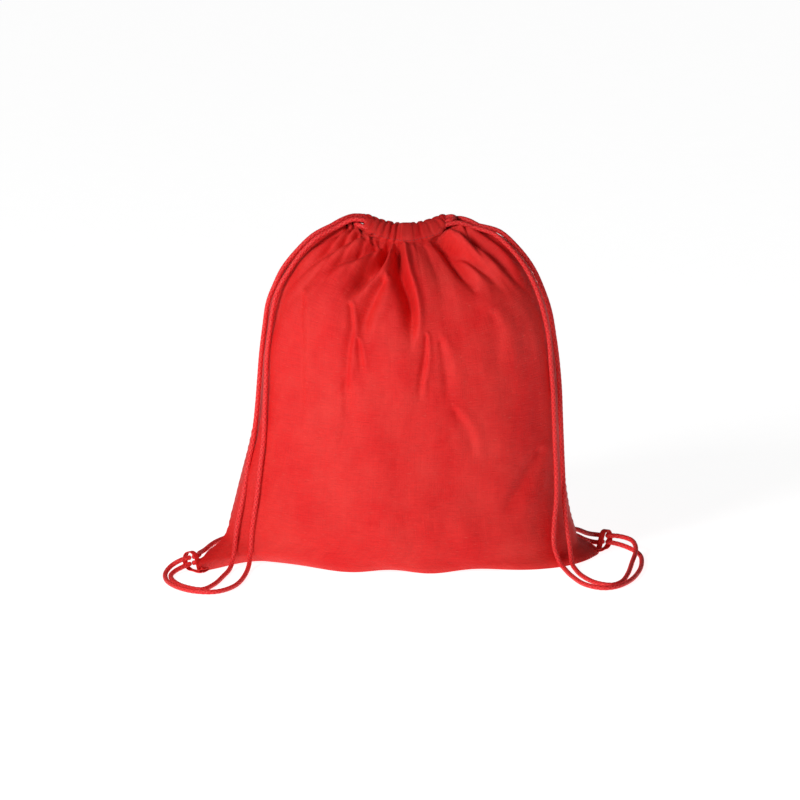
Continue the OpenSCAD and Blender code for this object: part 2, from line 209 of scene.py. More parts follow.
# ---------------------------------------------------------------- meshes
def mesh(name, points, faces, material, uv=None, relief=None):
    """A smooth mesh object from points in millimetres. uv has a pair for each point, and relief
    the height of the plaits there."""
    data = bpy.data.meshes.new(name)
    points = np.asarray(points, float) * MM
    data.from_pydata(points.tolist(), [], [tuple(f) for f in faces])
    data.materials.append(material)
    data.shade_smooth()
    if uv is not None:
        corners = np.zeros(len(data.loops), np.int32)
        data.loops.foreach_get("vertex_index", corners)
        layer = data.uv_layers.new(name="cloth")
        layer.data.foreach_set("uv", np.asarray(uv, np.float32)[corners].ravel())
    if relief is not None:
        attribute = data.attributes.new("relief", "FLOAT", "POINT")
        attribute.data.foreach_set("value", np.asarray(relief, np.float32).ravel())
    data.update()
    obj = bpy.data.objects.new(name, data)
    scene.collection.objects.link(obj)
    return obj


def grid_faces(rows, columns, closed=False, first=0):
    """Quads of a grid of points, row by row. closed joins the last column to the first."""
    i, j = np.meshgrid(np.arange(rows - 1), np.arange(columns if closed else columns - 1),
                       indexing="ij")
    a = first + i * columns + j
    b = first + i * columns + (j + 1) % columns
    return np.stack([a, b, b + columns, a + columns], -1).reshape(-1, 4)


def catmull(points, t):
    """A smooth curve through points, at each t from 0 to len(points) - 1."""
    points = np.asarray(points, float)
    t = np.asarray(t, float)
    i = np.clip(np.floor(t).astype(int), 0, len(points) - 2)
    f = (t - i).reshape(t.shape + (1,) * (points.ndim - 1))
    a, b = points[np.maximum(i - 1, 0)], points[i]
    c, d = points[i + 1], points[np.minimum(i + 2, len(points) - 1)]
    return 0.5 * (2 * b + (c - a) * f + (2 * a - 5 * b + 4 * c - d) * f ** 2
                  + (3 * b - a - 3 * c + d) * f ** 3)


def evenly(points, step):
    """The same line with its points a fixed step apart."""
    lengths = np.r_[0, np.cumsum(np.linalg.norm(np.diff(points, axis=0), axis=1))]
    count = max(int(round(lengths[-1] / step)), 2)
    at = np.linspace(0, lengths[-1], count + 1)
    return np.stack([np.interp(at, lengths, points[:, k]) for k in range(3)], -1), at


def smooth_line(route, step):
    """A smooth line through a route's points, with its own points a fixed step apart."""
    dense = catmull(route, np.linspace(0, len(route) - 1, 24 * len(route)))
    return evenly(dense, step)


def unit(v):
    return v / np.maximum(np.linalg.norm(v, axis=-1, keepdims=True), 1e-9)


def transported_frames(line):
    """Side and up vectors along a line that turn with it without twisting."""
    along = unit(np.gradient(line, axis=0))
    side = np.zeros_like(line)
    start = np.cross(along[0], (0, 0, 1) if abs(along[0][2]) < 0.9 else (0, 1, 0))
    side[0] = unit(start)
    for k in range(1, len(line)):
        side[k] = unit(side[k - 1] - along[k] * (side[k - 1] @ along[k]))
    return side, np.cross(along, side)


# ---------------------------------------------------------------- cords
# Thicknesses, how far apart the points of a line are, a plait's full turn and the length of a
# rounded end in millimetres. GAP_RADIUS and PLAIT_RISE are shares of the cord's radius
CORD_D = 4.4
CORD_SIDES = 20
KNOT_CORD_D = 4.7
KNOT_SIDES = 14
BRAID_STEP = 0.7
KNOT_STEP = 0.6
BRAID_STRANDS = 4
BRAID_TURN = 20.0
GAP_RADIUS = 0.86
PLAIT_RISE = 0.15
ROUNDED_END = 1.6


def braid(around, at):
    """Height of an eight-plait braid, 0 in the gaps and 1 on top of a plait."""
    one = BRAID_STRANDS * (around + 2 * math.pi * at / BRAID_TURN)
    two = BRAID_STRANDS * (around - 2 * math.pi * at / BRAID_TURN)
    over = 0.22 * np.cos(BRAID_STRANDS * around)
    return np.maximum(np.cos(one / 2) ** 2 * (0.78 + over), np.cos(two / 2) ** 2 * (0.78 - over))


def braided_tube(line, at, frames, diameter, sides, taper=1.0):
    """Points, flat coordinates and plait heights of a braided cord around a line."""
    side, up = frames
    around = np.arange(sides) * 2 * math.pi / sides
    height = braid(around[None, :], at[:, None])
    radius = diameter / 2 * (GAP_RADIUS + PLAIT_RISE * np.sqrt(height)) * taper
    ring = (np.cos(around)[None, :, None] * side[:, None, :]
            + np.sin(around)[None, :, None] * up[:, None, :])
    points = line[:, None, :] + radius[..., None] * ring
    uv = np.stack([np.broadcast_to(around * diameter / 2, height.shape),
                   np.broadcast_to(at[:, None], height.shape)], -1)
    return points.reshape(-1, 3), uv.reshape(-1, 2), height.ravel()


def cord_tube(name, route, rounded=""):
    """ends: start, end or both."""
    line, at = smooth_line(np.asarray(route, float), BRAID_STEP)
    taper = np.ones((len(at), 1))
    for place, depth in (("start", at), ("end", at[-1] - at)):
        if rounded in (place, "both"):
            near = 1 - np.clip(depth / ROUNDED_END, 0, 1)
            taper = taper * np.sqrt(np.clip(1 - near ** 2, 0.1, 1))[:, None]
    points, uv, relief = braided_tube(line, at, transported_frames(line), CORD_D, CORD_SIDES,
                                      taper)
    faces = [f[::-1] for f in grid_faces(len(line), CORD_SIDES, closed=True)]
    faces.append(range(CORD_SIDES))
    faces.append(range(len(points) - 1, len(points) - CORD_SIDES - 1, -1))
    obj = mesh(name, points, faces, CORD, uv, relief)
    path = [tuple(p * MM) for p in line[:: 6]] + [tuple(line[-1] * MM)]
    return obj, path, at[-1] * MM


# Centrelines of the cords from the hems down to the loops, from the loops to the knots, and the
# places of the knots. A loop has its middle and the turn of the cords that pass through it
LEFT_FRONT = [
    (-61, -10, 304), (-78, -15, 296), (-91, -17, 284), (-103, -20, 268), (-113, -22, 251),
    (-118, -24, 235), (-121, -27, 215), (-124, -29, 190), (-125, -33, 165), (-126, -36, 140),
    (-127, -39, 115), (-130, -42, 90), (-133, -44, 65), (-136, -44, 45), (-138, -43, 28),
    (-139, -49, 12), (-141, -68, 3), (-147, -112, 2.3), (-156, -139, 2.3), (-170, -154, 2.3),
    (-188, -152, 2.3), (-203, -137, 2.3), (-212, -117, 2.3), (-215, -96, 2.3), (-214, -81, 3.5),
    (-209, -72, 7), (-201, -69, 11), (-192, -64, 12.4)]
LEFT_BACK = [
    (-66, -3, 304), (-82, -6, 296), (-96, -8, 283), (-109, -10, 267), (-117, -11, 251),
    (-123, -13, 235), (-126, -15, 215), (-129, -17, 190), (-131, -20, 165), (-133, -24, 140),
    (-136, -27, 115), (-141, -31, 90), (-145, -38, 65), (-149, -41, 45), (-152, -43, 28),
    (-154, -54, 12), (-157, -66, 3), (-163, -95, 2.3), (-171, -126, 2.3), (-182, -145, 2.3),
    (-198, -133, 2.3), (-207, -114, 2.3), (-210, -94, 2.3), (-207, -80, 3), (-200, -71, 5),
    (-192, -64, 6.8)]
RIGHT_FRONT = [
    (61, -10, 304), (79, -14, 299), (94, -18, 287), (107, -21, 271), (117, -24, 252),
    (124, -27, 231), (129, -29, 207), (131, -31, 182), (133, -33, 158), (134, -36, 132),
    (135, -38, 106), (136, -39, 82), (136, -41, 60), (134, -46, 38), (134, -51, 20),
    (139, -56, 6), (144, -70, 2.3), (150, -96, 2.3), (160, -124, 2.3), (175, -139, 2.3),
    (190, -133, 2.3), (203, -107, 2.3), (211, -68, 2.3), (213, -30, 2.3), (210, -6, 2.3),
    (202, 9, 3.5), (192, 16, 5.5), (181, 20, 6.8)]
RIGHT_BACK = [
    (66, -3, 304), (85, -6, 299), (101, -9, 285), (114, -11, 268), (123, -13, 249),
    (130, -15, 228), (134, -17, 205), (137, -18, 182), (139, -20, 158), (140, -23, 132),
    (141, -25, 106), (142, -27, 82), (143, -32, 60), (145, -35, 38), (148, -42, 18),
    (150, -53, 5), (153, -68, 2.3), (159, -94, 2.3), (170, -118, 2.3), (184, -128, 2.3),
    (194, -115, 2.3), (200, -84, 2.3), (204, -44, 2.3), (208, -15, 7.3), (205, 3, 11.5),
    (194, 14, 13), (181, 20, 12.4)]
STRANDS = {"left_front": LEFT_FRONT, "left_back": LEFT_BACK,
           "right_front": RIGHT_FRONT, "right_back": RIGHT_BACK}
LEADS = {
    "left_front": [(-36, -8.3, 310.1), (-48, -9, 310.5), (-61, -10, 304)],
    "left_back": [(-36, 8.3, 310.1), (-47, 5, 311), (-57, 0, 308.5), (-66, -3, 304)],
    "right_front": [(36, -11.7, 305.9), (48, -10, 308), (61, -10, 304)],
    "right_back": [(36, 11.7, 305.9), (48, 7, 308.5), (57, 0, 308), (66, -3, 304)]}
TAILS = {
    "left": [
        [(-191.2, -63.3, 6.8), (-187.5, -60, 6.8), (-184, -51, 6), (-180, -30, 3.5),
         (-174, 5, 2.3), (-160, 40, 2.3), (-138, 70, 2.3), (-112, 88, 3.5), (-96, 94, 6)],
        [(-191.2, -63.3, 12.4), (-187.5, -60, 12.4), (-185, -51, 11.7), (-185, -34, 9),
         (-181, -2, 4), (-169, 42, 2.3), (-143, 80, 2.3), (-114, 97, 3.5), (-97, 99, 7)]],
    "right": [
        [(180.1, 20.4, 6.8), (172, 27, 4.5), (163, 46, 2.4), (153, 66, 2.3), (140, 80, 2.3),
         (122, 89, 2.3), (106, 93, 3.5), (95, 94, 6)],
        [(180.1, 20.4, 12.4), (173, 27, 11.5), (165, 47, 8), (156, 74, 5), (142, 94, 2.6),
         (124, 101, 2.3), (108, 100, 3.5), (96, 98, 7)]]}
KNOTS = {"left": (-88, 98), "right": (87, 98)}
LOOPS = {"left": (-192, -64, 9.2, 40), "right": (181, 20, 9.2, 154)}

# Each side's cord: leads between the bag and a hem, strands between the bag and a strap
for side_name, sign in (("left", -1), ("right", 1)):
    for hem in ("front", "back"):
        key = f"{side_name}_{hem}"
        lead, _, _ = cord_tube(f"{key}_lead_braid", LEADS[key])
        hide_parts(f"{key}_lead")
        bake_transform(lead)
        strand, path, length = cord_tube(f"{key}_strand_braid", STRANDS[key], rounded="end")
        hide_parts(f"{key}_strand")
        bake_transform(strand)


# ---------------------------------------------------------------- hems and the cords in them
HEM_HALF_WIDTH = 36
HEM_HALF_THICK = 4.0
HEM_END = 0.86


def hem_rim(u):
    """The middle of the front hem's rim, u from -1 at its left end to 1 at its right end."""
    return np.stack([HEM_HALF_WIDTH * u, -5 - 3 * (1 - u * u), 314 - 8 * (1 - u * u)], -1)


def hem_base(u):
    """The front hem's stitch line."""
    return np.stack([HEM_HALF_WIDTH * u, -15 - 10 * (1 - u * u), 302 - 9 * (1 - u * u)], -1)


def hem_section(u, angle):
    """A point of the hem's sleeve. angle 180 is its stitch line, 90 its outside, 0 its rim."""
    rim, base = hem_rim(u), hem_base(u)
    up = (rim - base) / 2
    size = np.linalg.norm(up, axis=-1, keepdims=True)
    out = np.stack([0 * u, -up[:, 2], up[:, 1]], -1) / size
    a = math.radians(angle)
    around = np.sign(math.cos(a)) * abs(math.cos(a)) ** 0.8
    bulge = np.sign(math.sin(a)) * abs(math.sin(a)) ** 0.8
    end = np.clip((np.abs(u) - HEM_END) / (1 - HEM_END), 0, 1)[:, None] ** 2
    return ((rim + base) / 2 + up * around * (1 - 0.35 * end)
            + out * HEM_HALF_THICK * bulge * (1 - 0.3 * end))


def channel(spread):
    """A cord's line inside the hem, moved by spread from the middle towards the rim."""
    u = np.linspace(-1, 1, 9)
    middle, up = (hem_rim(u) + hem_base(u)) / 2, unit(hem_rim(u) - hem_base(u))
    return (middle + up * spread).tolist()


def sag(x, face):
    """How far the gathered hems hang below their drawn line: the back one sags most."""
    u = np.clip(np.abs(x) / HEM_HALF_WIDTH, 0, 1)
    return 1.6 * u ** 2 if face > 0 else 1.6 + 2.6 * (1 - u ** 2)


# The left cord lies above the right one. It turns back into the other hem at the right end of
# the hems, and the right cord at their left end
upper = channel(2.7) + [[41, -7.5, 310], [44, -4.5, 310], [44, -0.2, 310]]
lower = [[-44, -0.2, 305.5], [-44, -5, 305.5], [-41, -9.5, 305.5]] + channel(-2.7)
for hem, face in (("front", 1), ("back", -1)):
    for place, route in (("upper", upper), ("lower", lower)):
        route = [(x, y * face, z - sag(x, face) * (abs(x) < 40)) for x, y, z in route]
        piece, _, _ = cord_tube(f"{hem}_{place}_hem_cord", route)
        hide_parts(f"{hem}_channel_cords")
        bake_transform(piece)


# ---------------------------------------------------------------- knots and free ends
def knot_piece(name, place, side):
    """An overhand knot tied in both cords together: two braided strands follow one knot line."""
    t = np.linspace(0.35, 2 * math.pi + 0.35 - 0.7, 60)
    base = np.stack([np.sin(t) + 2 * np.sin(2 * t), np.cos(t) - 2 * np.cos(2 * t),
                     -1.15 * np.sin(3 * t)], -1) * 2.35
    centre = np.array([place[0] - side * 1.0, place[1], 8.6])
    line, at = evenly(base, KNOT_STEP)
    frames = transported_frames(line)
    parts, faces = [], []
    for offset in (-1, 1):
        strand = centre + line + offset * 1.5 * frames[1]
        parts.append(braided_tube(strand, at, frames, KNOT_CORD_D, KNOT_SIDES))
        first = (len(parts) - 1) * len(line) * KNOT_SIDES
        faces += [f[::-1] for f in grid_faces(len(line), KNOT_SIDES, closed=True, first=first)]
    points, uv, relief = (np.concatenate(part) for part in zip(*parts))
    obj = mesh(name, points, faces, CORD, uv, relief)
    return obj


for side_name, side in (("left", -1), ("right", 1)):
    body = f"{side_name}_free_end"
    place = KNOTS[side_name]
    knot = knot_piece(f"{side_name}_overhand_knot", place, side)
    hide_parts(f"{side_name}_knot")
    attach(knot, body)
    for k, sign in enumerate((-1, 1)):
        x = place[0] - side * 4
        route = [(x - side * out, place[1] + sign * apart, z) for out, apart, z in (
            (0, 3.2, 4.2), (6, 4.0, 3.2), (14, 5.2, 2.7), (23, 7, 2.6))]
        end, _, _ = cord_tube(f"{side_name}_cut_end_{k + 1}", route, rounded="both")
        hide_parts(f"{side_name}_cord_ends")
        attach(end, body)
    for k, route in enumerate(TAILS[side_name]):
        tail, path, length = cord_tube(f"{side_name}_tail_braid_{k + 1}", route, rounded="start")
        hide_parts(f"{side_name}_tail")
        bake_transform(tail)


# ---------------------------------------------------------------- bag cloth
# [height at the front, height at the sides, left half width, right half width, half depth,
#  how sharply the left side tapers, how sharply the right side tapers], level by level
PROFILE = np.array([
    (0, 0, 182, 175, 74, 2, 0.8), (5, 5, 185, 168, 78, 1.9, 0.8),
    (12, 12, 183, 157, 80, 1.7, 0.82), (25, 25, 163, 153, 82, 1.4, 0.85),
    (45, 45, 156, 148, 83, 1.15, 0.9), (75, 75, 148, 144, 83, 1, 0.92),
    (115, 115, 138, 141, 83, 0.95, 0.93), (155, 162, 130, 139, 82, 0.93, 0.93),
    (195, 212, 125, 132, 78, 0.93, 0.93), (228, 252, 115, 118, 71, 0.95, 0.95),
    (252, 279, 95, 101, 61, 0.98, 0.98), (268, 292, 79, 86, 50, 1, 1),
    (280, 299, 64, 69, 39, 1, 1), (289, 303, 50, 50, 29, 1, 1)], float)
TOP = len(PROFILE) - 1
# Each bottom corner is bent from this far out, over this length, by this much to the back
LEFT_BEND = (126, 60, -76)
RIGHT_BEND = (140, 36, 7)
# The grid of one half: columns from seam to seam, and rows of the base, of the outside, of the
# collar below the hem and of the hem
COLUMNS = 230
ROWS = 215
BASE_ROWS = 12
COLLAR_ROWS = 8
HEM_ROWS = 30
HEM_ANGLES = np.linspace(180, -160, HEM_ROWS)
FLAT_W = 370.0


def ring(v):
    """One level of the front half, its points evenly spaced from the left seam to the right."""
    row = catmull(PROFILE, np.array([v]))[0]
    a = np.linspace(math.pi, 0, 721)
    c, s = np.cos(a), np.maximum(np.sin(a), 0)
    front_z, side_z, left, right, half_depth, left_taper, right_taper = row
    points = np.stack([c * np.where(c < 0, left, right),
                       -half_depth * s ** np.where(c < 0, left_taper, right_taper),
                       front_z + (side_z - front_z) * c * c], -1)
    return evenly(points, np.linalg.norm(np.diff(points, axis=0), axis=1).sum() / COLUMNS)[0]


def corner_bend(x):
    """How far the bottom corners are bent: the left one to the front, the right one back."""
    return sum(depth * (np.maximum(out - start, 0) / length) ** 1.6
               for out, (start, length, depth) in ((-x, LEFT_BEND), (x, RIGHT_BEND)))


def bag_grid():
    """The front half as rows of points from the bottom seam up to the rim and down inside."""
    v = np.linspace(0, TOP, 400)
    middle = catmull(PROFILE, v)[:, [4, 0]]
    along = np.r_[0, np.cumsum(np.linalg.norm(np.diff(middle, axis=0), axis=1))]
    rows = [ring(t) for t in np.interp(np.linspace(0, along[-1], ROWS), along, v)]
    seam = rows[0] * (0.975, 0, 1)
    base = [seam + (rows[0] - seam) * k / BASE_ROWS for k in range(BASE_ROWS)]
    u = np.linspace(-1, 1, COLUMNS + 1)
    knots = np.array([ring(TOP - 1), ring(TOP), hem_base(u), hem_section(u, 140)])
    collar = list(catmull(knots, 1 + np.arange(1, COLLAR_ROWS) / COLLAR_ROWS))
    hem = [hem_section(u, a) for a in HEM_ANGLES]
    return np.array(base + rows + collar + hem)


def grid_normals(grid):
    """Outward normals of a grid of points."""
    down = np.gradient(grid, axis=0)
    across = np.gradient(grid, axis=1)
    return unit(np.cross(across, down))


# Folds in the cloth of the front, as lines seen from the front: [depth, width on the left,
# width on the right, height of the ridge on the right as a share of the depth, points].
# A point is [x across, height up the front], and left and right are as one goes down a fold
FRONT_FOLDS = [
    (19, 8, 3, 0.22, [(-6, 292), (-5, 280), (-4, 264), (-2, 252), (2, 240), (5, 228), (7, 212),
                      (6, 196), (3, 178)]),
    (15, 9, 4, 0.35, [(-13, 286), (-17, 275), (-23, 264), (-32, 253), (-43, 241), (-54, 229)]),
    (6, 7, 5, 0.3, [(-20, 246), (-28, 230), (-36, 212), (-40, 190)]),
    (7, 4, 3, 0.5, [(-17, 289), (-26, 280), (-40, 270), (-58, 262), (-78, 250)]),
    (6.5, 4, 3, 0.5, [(-19, 294), (-34, 287), (-52, 280), (-72, 270), (-94, 254)]),
    (4.5, 3, 3, 0.5, [(-22, 298), (-40, 293), (-62, 287), (-84, 276), (-102, 260)]),
    (4, 3, 2, 0.5, [(-9, 291), (-13, 280), (-18, 270), (-21, 260)]),
    (11, 4, 6, 0.3, [(18, 292), (26, 284), (35, 275), (43, 264), (52, 252), (60, 242),
                     (68, 228)]),
    (9, 4, 4, 0.4, [(22, 292), (34, 282), (47, 272), (62, 262), (76, 250), (90, 232)]),
    (6.5, 4, 3, 0.45, [(26, 296), (42, 290), (60, 282), (78, 272), (94, 254), (106, 234)]),
    (4.5, 3, 3, 0.4, [(26, 300), (46, 296), (68, 289), (88, 276), (106, 256)]),
    (2.6, 3, 2, 0.5, [(19, 196), (18, 176), (14, 152), (13, 136)]),
    (2.6, 4, 2.5, 0.4, [(-49, 224), (-48, 204), (-51, 184), (-53, 160), (-53, 146)]),
    (2.0, 3, 2, 0.4, [(-42, 192), (-40, 176), (-38, 158)]),
    (2.6, 9, 4, 0.3, [(-92, 232), (-93, 190), (-94, 150), (-93, 112)]),
    (2.2, 4, 9, 0.3, [(-55, 152), (-53, 124), (-58, 100), (-66, 84)]),
    (1.3, 7, 6, 0.3, [(78, 214), (84, 196), (83, 178), (76, 160)]),
    (1.8, 4, 5, 0.4, [(32, 190), (37, 160), (38, 132)]),
    (2.4, 5, 7, 0.4, [(119, 92), (108, 72), (96, 50), (88, 36)]),
    (1.8, 7, 4, 0.3, [(46, 128), (58, 106), (62, 82)]),
]


FOLD_STEPS = 60
FOLD_START = 0.55
FOLD_FULL = 0.35
FOLD_FADE = 0.4


def fold_depth(x, h, folds):
    """Displacement along the normal for points seen at x across and h up. A fold starts narrow,
    has its full width FOLD_FULL of the way down, and fades over its last FOLD_FADE."""
    total = np.zeros_like(x)
    for depth, left, right, ridge, route in folds:
        line = catmull(route, np.linspace(0, len(route) - 1, FOLD_STEPS))
        tangent = unit(np.gradient(line, axis=0))
        reach = 5 * max(left, right)
        low, high = line.min(0) - reach, line.max(0) + reach
        near = (x > low[0]) & (x < high[0]) & (h > low[1]) & (h < high[1])
        dx, dh = x[near][:, None] - line[:, 0], h[near][:, None] - line[:, 1]
        k = np.argmin(dx ** 2 + dh ** 2, axis=1)
        pick = np.arange(len(k))
        dx, dh = dx[pick, k], dh[pick, k]
        away = np.hypot(dx, dh)
        across = np.sign(tangent[k, 0] * dh - tangent[k, 1] * dx) * away
        share = k / (FOLD_STEPS - 1)
        fade = np.clip((1 - share) / FOLD_FADE, 0, 1)
        fade = fade * fade * (3 - 2 * fade)
        spread = FOLD_START + (1 - FOLD_START) * np.clip(share / FOLD_FULL, 0, 1)
        width = np.where(across < 0, left, right) * spread
        valley = -np.exp(-(across / width) ** 2)
        crest = ridge * np.exp(-((across - 2.1 * right * spread) / (1.2 * right * spread)) ** 2)
        total[near] += depth * fade * (valley + crest)
    return total


def ripple(seed, x, y, long_x, long_y, count=28):
    """Smooth seeded unevenness, about -1 to 1, with wavelengths near long_x and long_y."""
    random = np.random.default_rng(seed)
    total = np.zeros_like(x)
    for _ in range(count):
        turn = random.uniform(0, 2 * math.pi)
        size = random.uniform(0.6, 1.5)
        total += np.cos(2 * math.pi * size * (x * math.cos(turn) / long_x
                                              + y * math.sin(turn) / long_y)
                        + random.uniform(0, 2 * math.pi))
    return total / math.sqrt(count)


def groove(x, places, width):
    """1 in narrow grooves at the given places, falling to 0 between them."""
    return np.max([np.exp(-((x - place) / width) ** 2) for place in places], axis=0)


def ledge(x, low, high, soft):
    """1 between low and high with steep sides."""
    return 1 / (1 + np.exp(-(x - low) / soft)) / (1 + np.exp((x - high) / soft))


# Where the pleats are along a hem, for the front (1) and the back (-1). The front hem has one
# smooth stretch at its right and one flat box pleat near its middle
PLEATS = {1: (-33, -28.5, -24, -18.5, -14, -9.5, -5.5, 10.5, 17, 24, 29, 33),
          -1: (-32, -26, -20.5, -15, -8.5, -3, 3.5, 9, 14.5, 21, 26.5, 32)}


def hem_pleats(x, face):
    """How far the gathered cloth stands out at x along a hem."""
    pleats = 0.9 - 2.3 * groove(x, PLEATS[face], 1.0)
    smooth = ledge(x, 6, 28, 1.5) if face > 0 else 0
    pleats = pleats * (1 - 0.75 * smooth)
    if face > 0:
        pleats = pleats + 0.9 * ledge(x, -2.4, 5.2, 0.25)
    return pleats


# How high a point looks from the camera: shares of its y and its z
VIEW_UP = (0.225, 0.974)
FRONT_SEED = 3
BACK_SEED = 11


def cloth_push(grid, flat_x, flat_y, x, h, folds, seed):
    """How far folds, soft unevenness and puckered side seams move the cloth outwards. Also a
    share that falls to 0 at the side seams, and which rows are not in the base."""
    from_edge = (FLAT_W / 2 - np.abs(flat_x)) / (FLAT_W / 2)
    edge = np.clip(from_edge / 0.12, 0, 1)
    low = np.clip(grid[..., 2] / 25, 0, 1)
    outside = (np.arange(len(grid)) >= BASE_ROWS)[:, None]
    push = fold_depth(x.ravel(), h.ravel(), folds).reshape(x.shape)
    push = push * outside * np.clip(from_edge / 0.05, 0, 1)
    soft = (1.3 * ripple(seed, flat_x, flat_y, 90, 130)
            + 0.45 * ripple(seed + 1, flat_x, flat_y, 42, 52)
            + 0.12 * ripple(seed + 2, flat_x, flat_y, 15, 19))
    pucker = 0.35 * np.cos(2 * math.pi * flat_y / 6.5) * np.exp(-from_edge / 0.02)
    return push + soft * edge * low + pucker * low, edge, outside


def cloth_half(name, face, folds, seed):
    """One half of the bag in one piece of cloth, its hem folded over the cords."""
    grid = bag_grid()
    rows = len(grid)
    index = np.arange(rows)
    hem_start = rows - HEM_ROWS
    in_hem = np.clip((index - (hem_start - COLLAR_ROWS)) / COLLAR_ROWS, 0, 1)[:, None]
    flat_x = np.broadcast_to(np.linspace(-FLAT_W / 2, FLAT_W / 2, COLUMNS + 1), grid.shape[:2])
    step = np.linalg.norm(np.diff(grid[:, COLUMNS // 2], axis=0), axis=1)
    flat_y = np.broadcast_to(np.r_[0, np.cumsum(step)][:, None], grid.shape[:2])
    x, h = grid[..., 0], VIEW_UP[1] * grid[..., 2] + VIEW_UP[0] * grid[..., 1]
    push, edge, outside = cloth_push(grid, flat_x, flat_y, x, h, folds, seed)

    # The hem's pleats fan out below it and fade
    height = np.zeros(rows)
    height[hem_start:] = np.clip((180 - HEM_ANGLES) / 180, 0, 1)
    below = np.clip(280 + 11 * np.clip(x / HEM_HALF_WIDTH, -1, 1) ** 2 - h, 0, None)
    below[hem_start - COLLAR_ROWS:] = 0
    fan = 1.6 - 0.6 * height[:, None] + below / 32
    pleats = hem_pleats(x / fan, face)
    flare = 2.4 if face > 0 else 1.5
    spread = flare * (pleats - 0.4) * np.exp(-below / 24) * outside
    push = (push + spread) * (1 - in_hem) + pleats * in_hem
    inside_fade = np.ones(rows)
    inside_fade[hem_start:] = np.clip(HEM_ANGLES / 60, 0.25, 1) * (HEM_ANGLES > -30)
    push = push * np.where(in_hem < 1, 1, inside_fade[:, None])
    points = grid + grid_normals(grid) * push[..., None]

    # The rim follows its pleats, the cloth rises beside the hem, and the hem sags
    rim = np.zeros(rows)
    rim[hem_start:] = np.exp(-(HEM_ANGLES / 50) ** 2)
    points[..., 2] += rim[:, None] * np.clip(pleats, -0.7, 0.9) * 0.6
    shoulder = np.exp(-((np.abs(grid[..., 0]) - 47) / 13) ** 2) * np.clip(
        (grid[..., 2] - 284) / 14, 0, 1)
    points[..., 2] += 4.4 * shoulder * np.sqrt(1 - in_hem)
    points[..., 2] -= sag(grid[..., 0], face) * in_hem

    # The bottom edge waves, and both halves meet at the side seams
    bottom = np.clip(1 - grid[..., 2] / 14, 0, 1) * edge
    wave = np.sin(flat_x / 15 + 1.2 * np.sin(flat_x / 41) + seed)
    points[..., 1] += bottom * 2.0 * wave
    points[..., 2] += bottom * (1.2 + 1.2 * wave) * np.clip(index / BASE_ROWS, 0, 1)[:, None] ** 2
    points[..., 1] = np.minimum(points[..., 1], 0) * face
    points[..., 1] += corner_bend(points[..., 0])
    points[..., 2] = np.maximum(points[..., 2], 0.05)
    faces = grid_faces(rows, COLUMNS + 1)
    if face > 0:
        faces = faces[:, ::-1]
    uv = np.stack([flat_x, flat_y], -1).reshape(-1, 2)
    obj = mesh(name, points.reshape(-1, 3), faces, CLOTH, uv)
    return obj


def back_fold(k):
    """The kth of the back's even folds, which fan out from the hem."""
    x = -26 + 7.5 * k
    return (5 - 0.4 * (k % 3), 4, 4, 0.4,
            [(x, 297), (x * 1.7, 280), (x * (2.6 - 0.1 * (k % 4)), 258 - 4 * (k % 3)),
             (x * 3.1, 232 - 9 * (k % 2))])


BACK_FOLDS = [back_fold(k) for k in range(8)]
front = cloth_half("front_cloth", 1, FRONT_FOLDS, FRONT_SEED)
back = cloth_half("back_cloth", -1, BACK_FOLDS, BACK_SEED)
for piece, hem, face in ((front, "front", 1), (back, "back", -1)):
    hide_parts(f"{hem}_panel", f"{hem}_base", f"{hem}_casing")
    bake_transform(piece)

# ---------------------------------------------------------------- corner loops
TAPE_W = 5.2
TAPE_T = 0.9
LOOP_RADIUS = 8.3
FEET = {"left": [(-183, -73.5), (-176, -57)], "right": [(174, 7.5), (162, 4)]}


def corner_loop(side_name):
    """A tape folded in a teardrop around the cords, both its ends sewn into the corner."""
    x, y, z, turn = LOOPS[side_name]
    tip, inner = FEET[side_name]
    through = np.array([math.cos(math.radians(turn)), math.sin(math.radians(turn)), 0])
    middle = np.array([x, y, 0.0])
    to_tip = np.array([*tip, 0.0]) - middle
    reach = np.linalg.norm(to_tip)
    along = to_tip / reach

    def at(s, up):
        """A point s from the loop's middle towards the corner, and up above the table."""
        return middle + along * s + np.array([0, 0, up])

    path = [np.array([*inner, 1.0]), np.array([*tip, 1.0]), at(5, 0.9)]
    path += [at(-LOOP_RADIUS * math.sin(a), z - LOOP_RADIUS * math.cos(a))
             for a in np.radians([10, 50, 90, 130, 165, 195, 225, 255])]
    path += [at(reach * 0.82, 4.2), np.array([*tip, 3.0]), np.array([*inner, 2.6])]
    line, at_line = smooth_line(np.array(path), 0.6)
    tangent = unit(np.gradient(line, axis=0))
    wide = np.broadcast_to(through, line.shape)
    wide = unit(wide - tangent * np.sum(wide * tangent, axis=1, keepdims=True))
    thick = np.cross(tangent, wide)
    section = [(-0.5, -0.42), (-0.46, -0.5), (0, -0.5), (0.46, -0.5), (0.5, -0.42),
               (0.5, 0.42), (0.46, 0.5), (0, 0.5), (-0.46, 0.5), (-0.5, 0.42)]
    points = np.stack([line + wide * TAPE_W * a + thick * TAPE_T * b for a, b in section], 1)
    points[..., 2] = np.maximum(points[..., 2], 0.1)
    count = len(section)
    faces = list(grid_faces(len(line), count, closed=True))
    faces.append(range(count - 1, -1, -1))
    faces.append(range((len(line) - 1) * count, len(line) * count))
    around = np.array([a * TAPE_W for a, _ in section])
    uv = np.stack([np.broadcast_to(around, points.shape[:2]),
                   np.broadcast_to(at_line[:, None], points.shape[:2])], -1)
    tape = mesh(f"{side_name}_loop_tape", points.reshape(-1, 3), faces, TAPE, uv.reshape(-1, 2))
    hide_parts(f"{side_name}_corner_loop")
    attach(tape, "root")


for side_name in LOOPS:
    corner_loop(side_name)


# ---------------------------------------------------------------- stitching
STITCH_SIDES = 8
STITCH_ROWS = 7


